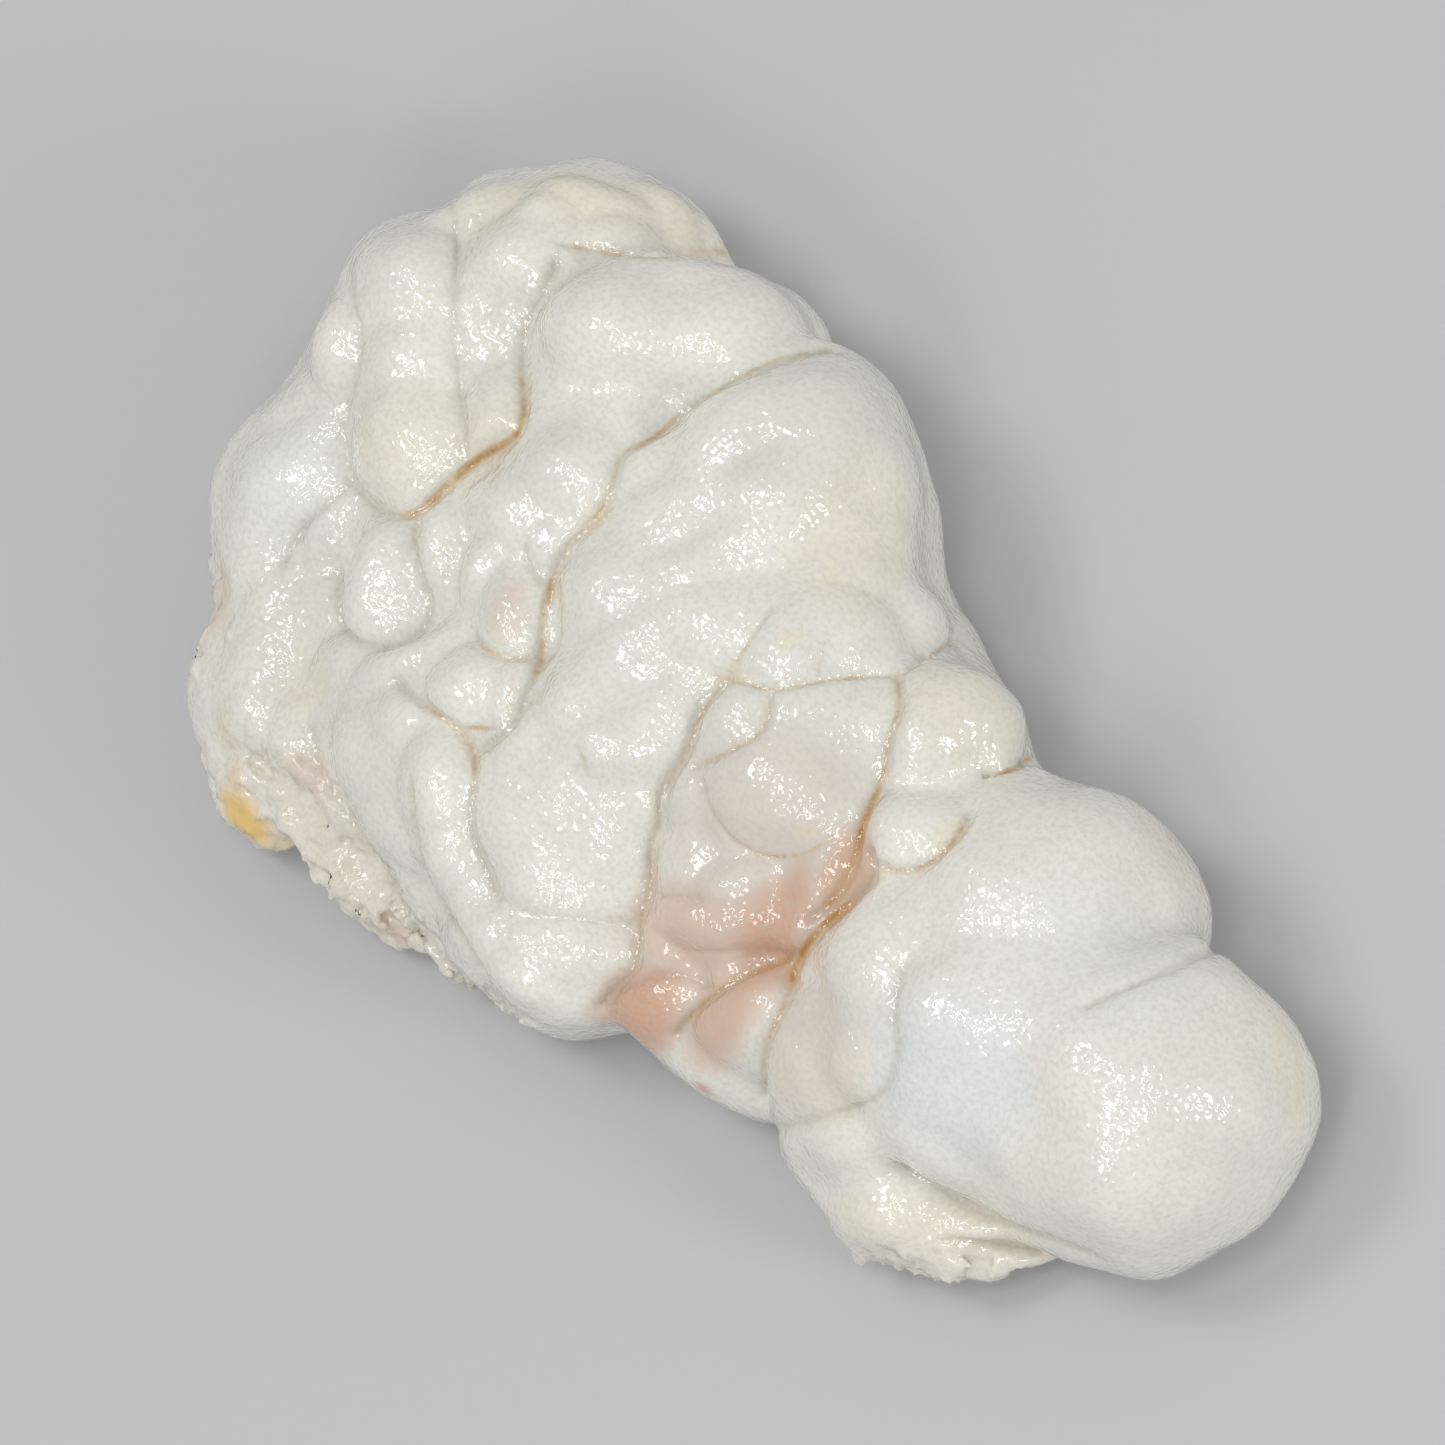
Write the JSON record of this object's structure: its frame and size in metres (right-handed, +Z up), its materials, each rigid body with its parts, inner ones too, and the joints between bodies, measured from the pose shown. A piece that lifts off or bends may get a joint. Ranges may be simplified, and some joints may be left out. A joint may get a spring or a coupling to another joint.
{
  "type": "botryoidal opal specimen",
  "caption": "Loose mineral specimen: an elongated stone of milky white opal with rounded, grape-like lobes and small knobs, resting on the flat of its broken underside.",
  "frame": {"origin": "middle of the stone's outline seen from above, on the surface that it rests on", "axes": "+X along the stone's length towards its smooth rounded end, +Z up"},
  "size_m": [0.0598, 0.0314, 0.0143],
  "materials": {
    "opal_stone": "glossy"
  },
  "bodies": {
    "root": {"opal": "opal_stone"}
  },
  "joints": []
}
